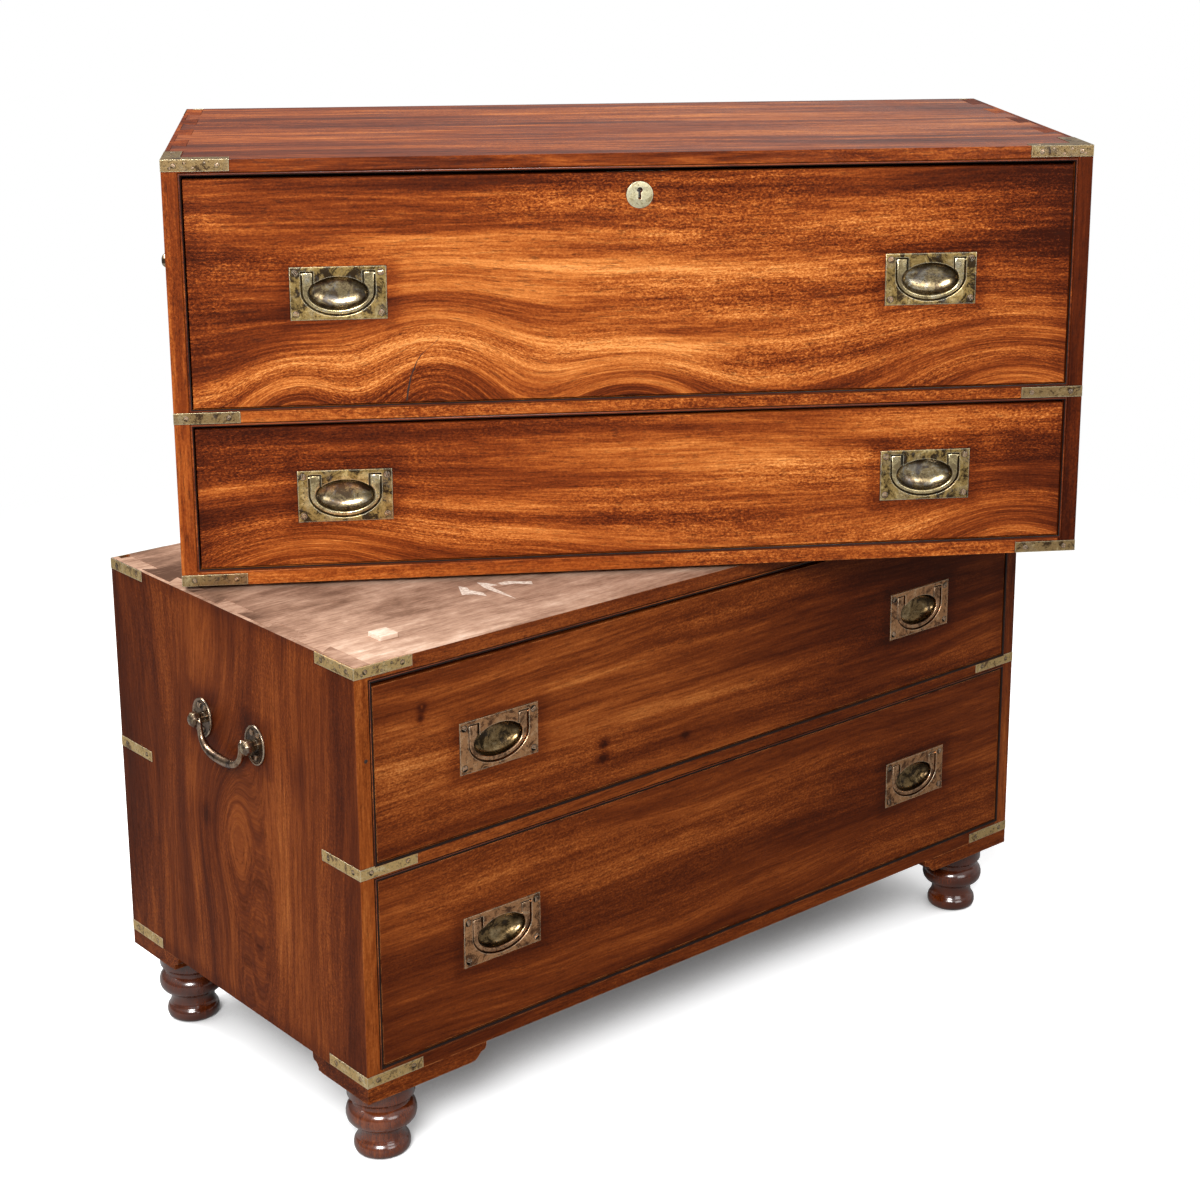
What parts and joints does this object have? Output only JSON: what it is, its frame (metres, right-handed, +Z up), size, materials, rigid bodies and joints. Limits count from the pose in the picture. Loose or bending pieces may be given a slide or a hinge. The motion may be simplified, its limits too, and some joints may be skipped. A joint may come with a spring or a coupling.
{
  "type": "campaign chest of drawers",
  "caption": "Two-part brass-bound mahogany campaign chest on turned feet, its upper case standing turned on the lower one, with flush-handled drawers.",
  "frame": {"origin": "on the floor, in the middle of the outline that the whole chest takes up with its upper case turned", "axes": "+X along the lower case's width to its right, +Y from its front to its back, +Z up; the lower drawers open towards -Y, the upper ones along the turned case's own front"},
  "size_m": [1.122, 0.9586, 1.0342],
  "materials": {
    "mahogany": "old polish, figured red-brown, softly glossy",
    "dark_mahogany": "dark turned wood with a high polish",
    "bare_top": "bare dusty wood, matte and worn",
    "drawer_pine": "unfinished, matte",
    "aged_brass": "aged, satin, with dark patches",
    "steel": "dull, brushed"
  },
  "bodies": {
    "lower_case": {"lower_left_side": "mahogany", "lower_right_side": "mahogany", "lower_top_board": "bare_top", "lower_bottom_board": "mahogany", "lower_divider": "mahogany", "lower_back_panel": "drawer_pine", "lower_left_top_strap": "aged_brass", "lower_left_middle_strap": "aged_brass", "lower_left_bottom_strap": "aged_brass", "lower_right_top_strap": "aged_brass", "lower_right_middle_strap": "aged_brass", "lower_right_bottom_strap": "aged_brass", "foot_front_left": "dark_mahogany", "foot_front_right": "dark_mahogany", "foot_rear_left": "dark_mahogany", "foot_rear_right": "dark_mahogany"},
    "upper_case": {"upper_left_side": "mahogany", "upper_right_side": "mahogany", "upper_top_board": "mahogany", "upper_bottom_board": "mahogany", "upper_divider": "mahogany", "upper_back_panel": "drawer_pine", "upper_left_top_strap": "aged_brass", "upper_left_middle_strap": "aged_brass", "upper_left_bottom_strap": "aged_brass", "upper_right_top_strap": "aged_brass", "upper_right_middle_strap": "aged_brass", "upper_right_bottom_strap": "aged_brass"},
    "upper_top_drawer": {"upper_top_drawer_front": "mahogany", "upper_top_drawer_box": "drawer_pine", "upper_top_left_pull_plate": "aged_brass", "upper_top_right_pull_plate": "aged_brass", "escutcheon": "aged_brass", "lock_case": "steel"},
    "upper_top_left_pull_bail": {"upper_top_left_pull_bail": "aged_brass"},
    "upper_top_right_pull_bail": {"upper_top_right_pull_bail": "aged_brass"},
    "upper_bottom_drawer": {"upper_bottom_drawer_front": "mahogany", "upper_bottom_drawer_box": "drawer_pine", "upper_bottom_left_pull_plate": "aged_brass", "upper_bottom_right_pull_plate": "aged_brass"},
    "upper_bottom_left_pull_bail": {"upper_bottom_left_pull_bail": "aged_brass"},
    "upper_bottom_right_pull_bail": {"upper_bottom_right_pull_bail": "aged_brass"},
    "lower_top_drawer": {"lower_top_drawer_front": "mahogany", "lower_top_drawer_box": "drawer_pine", "lower_top_left_pull_plate": "aged_brass", "lower_top_right_pull_plate": "aged_brass"},
    "lower_top_left_pull_bail": {"lower_top_left_pull_bail": "aged_brass"},
    "lower_top_right_pull_bail": {"lower_top_right_pull_bail": "aged_brass"},
    "lower_bottom_drawer": {"lower_bottom_drawer_front": "mahogany", "lower_bottom_drawer_box": "drawer_pine", "lower_bottom_left_pull_plate": "aged_brass", "lower_bottom_right_pull_plate": "aged_brass"},
    "lower_bottom_left_pull_bail": {"lower_bottom_left_pull_bail": "aged_brass"},
    "lower_bottom_right_pull_bail": {"lower_bottom_right_pull_bail": "aged_brass"},
    "lock_bolt": {"lock_bolt": "steel"},
    "lower_left_carrying_bail": {"lower_left_carrying_bail": "aged_brass"},
    "lower_right_carrying_bail": {"lower_right_carrying_bail": "aged_brass"},
    "upper_left_carrying_bail": {"upper_left_carrying_bail": "aged_brass"},
    "upper_right_carrying_bail": {"upper_right_carrying_bail": "aged_brass"}
  },
  "joints": [
    {"name": "upper_case_lift", "type": "slide", "parent": "lower_case", "child": "upper_case", "axis": [0, 0, 1], "range_m": [0, 0.3]},
    {"name": "upper_top_drawer_slide", "type": "slide", "parent": "upper_case", "child": "upper_top_drawer", "axis": [-0.5476, -0.8368, 0], "range_m": [0, 0.4]},
    {"name": "upper_top_left_pull_hinge", "type": "hinge", "parent": "upper_top_drawer", "child": "upper_top_left_pull_bail", "pos_m": [-0.39408, -0.02622, 0.91035], "axis": [-0.8368, 0.5476, 0], "range_deg": [0, 90]},
    {"name": "upper_top_right_pull_hinge", "type": "hinge", "parent": "upper_top_drawer", "child": "upper_top_right_pull_bail", "pos_m": [0.1448, -0.37885, 0.91035], "axis": [-0.8368, 0.5476, 0], "range_deg": [0, 90]},
    {"name": "upper_bottom_drawer_slide", "type": "slide", "parent": "upper_case", "child": "upper_bottom_drawer", "axis": [-0.5476, -0.8368, 0], "range_m": [0, 0.4]},
    {"name": "upper_bottom_left_pull_hinge", "type": "hinge", "parent": "upper_bottom_drawer", "child": "upper_bottom_left_pull_bail", "pos_m": [-0.39408, -0.02622, 0.68795], "axis": [-0.8368, 0.5476, 0], "range_deg": [0, 90]},
    {"name": "upper_bottom_right_pull_hinge", "type": "hinge", "parent": "upper_bottom_drawer", "child": "upper_bottom_right_pull_bail", "pos_m": [0.1448, -0.37885, 0.68795], "axis": [-0.8368, 0.5476, 0], "range_deg": [0, 90]},
    {"name": "lower_top_drawer_slide", "type": "slide", "parent": "lower_case", "child": "lower_top_drawer", "axis": [0, -1, 0], "range_m": [0, 0.4]},
    {"name": "lower_top_left_pull_hinge", "type": "hinge", "parent": "lower_top_drawer", "child": "lower_top_left_pull_bail", "pos_m": [-0.36499, -0.25455, 0.4674], "axis": [-1, 0, 0], "range_deg": [0, 90]},
    {"name": "lower_top_right_pull_hinge", "type": "hinge", "parent": "lower_top_drawer", "child": "lower_top_right_pull_bail", "pos_m": [0.27901, -0.25455, 0.4674], "axis": [-1, 0, 0], "range_deg": [0, 90]},
    {"name": "lower_bottom_drawer_slide", "type": "slide", "parent": "lower_case", "child": "lower_bottom_drawer", "axis": [0, -1, 0], "range_m": [0, 0.4]},
    {"name": "lower_bottom_left_pull_hinge", "type": "hinge", "parent": "lower_bottom_drawer", "child": "lower_bottom_left_pull_bail", "pos_m": [-0.36499, -0.25455, 0.24875], "axis": [-1, 0, 0], "range_deg": [0, 90]},
    {"name": "lower_bottom_right_pull_hinge", "type": "hinge", "parent": "lower_bottom_drawer", "child": "lower_bottom_right_pull_bail", "pos_m": [0.27901, -0.25455, 0.24875], "axis": [-1, 0, 0], "range_deg": [0, 90]},
    {"name": "lock_bolt_slide", "type": "slide", "parent": "upper_top_drawer", "child": "lock_bolt", "axis": [0, 0, 1], "range_m": [0, 0.008]},
    {"name": "lower_left_carrying_hinge", "type": "hinge", "parent": "lower_case", "child": "lower_left_carrying_bail", "pos_m": [-0.55449, -0.01249, 0.429], "axis": [0, 1, 0], "range_deg": [-8, 165]},
    {"name": "lower_right_carrying_hinge", "type": "hinge", "parent": "lower_case", "child": "lower_right_carrying_bail", "pos_m": [0.46851, -0.01249, 0.429], "axis": [0, -1, 0], "range_deg": [-8, 165]},
    {"name": "upper_left_carrying_hinge", "type": "hinge", "parent": "upper_case", "child": "upper_left_carrying_bail", "pos_m": [-0.42011, 0.28008, 0.8968], "axis": [0.5476, 0.8368, 0], "range_deg": [-8, 165]},
    {"name": "upper_right_carrying_hinge", "type": "hinge", "parent": "upper_case", "child": "upper_right_carrying_bail", "pos_m": [0.4359, -0.28008, 0.8968], "axis": [-0.5476, -0.8368, 0], "range_deg": [-8, 165]}
  ]
}
